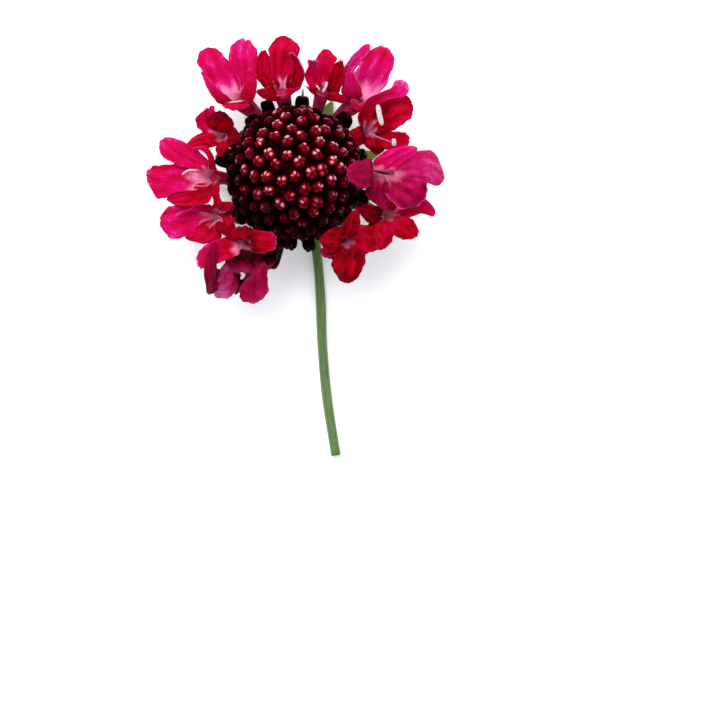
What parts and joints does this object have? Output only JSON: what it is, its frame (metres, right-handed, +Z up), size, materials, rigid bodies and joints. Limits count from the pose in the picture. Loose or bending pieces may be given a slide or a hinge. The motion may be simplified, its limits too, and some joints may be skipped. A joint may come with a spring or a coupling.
{
  "type": "scabiosa flower",
  "caption": "Cut dark red scabiosa flower lying face up: a dome of closed buds, a ring of open ray florets, green bracts and a bent stem.",
  "frame": {"origin": "on the surface that the flower lies on, under the middle of its outline", "axes": "+Z up, through the face of the flower head; -Y along the stem towards its cut end"},
  "size_m": [0.055, 0.0788, 0.0249],
  "materials": {
    "ray_petal": "soft satin petal, crimson to hot pink, with fine veins",
    "dark_bud": "velvety near-black maroon",
    "closed_bud": "waxy maroon with pink lights on the crowns",
    "bract": "matte leaf green with a paler edge",
    "stem": "ribbed fresh green, slightly downy"
  },
  "bodies": {
    "root": {"ray_floret_01": "ray_petal", "ray_floret_02": "ray_petal", "ray_floret_03": "ray_petal", "ray_floret_04": "ray_petal", "ray_floret_05": "ray_petal", "ray_floret_06": "ray_petal", "ray_floret_07": "ray_petal", "ray_floret_08": "ray_petal", "ray_floret_09": "ray_petal", "ray_floret_10": "ray_petal", "ray_floret_11": "ray_petal", "ray_floret_12": "ray_petal", "ray_floret_13": "ray_petal", "rim_bud_01": "dark_bud", "rim_bud_02": "dark_bud", "rim_bud_03": "dark_bud", "rim_bud_04": "dark_bud", "rim_bud_05": "dark_bud", "rim_bud_06": "dark_bud", "rim_bud_07": "dark_bud", "rim_bud_08": "dark_bud", "rim_bud_09": "dark_bud", "rim_bud_10": "dark_bud", "rim_bud_11": "dark_bud", "rim_bud_12": "dark_bud", "rim_bud_13": "dark_bud", "opening_bud": "dark_bud", "disc_buds": "closed_bud", "bract_01": "bract", "bract_02": "bract", "bract_03": "bract", "bract_04": "bract", "bract_05": "bract", "bract_06": "bract", "bract_07": "bract", "bract_08": "bract", "bract_09": "bract", "stem": "stem"}
  },
  "joints": []
}
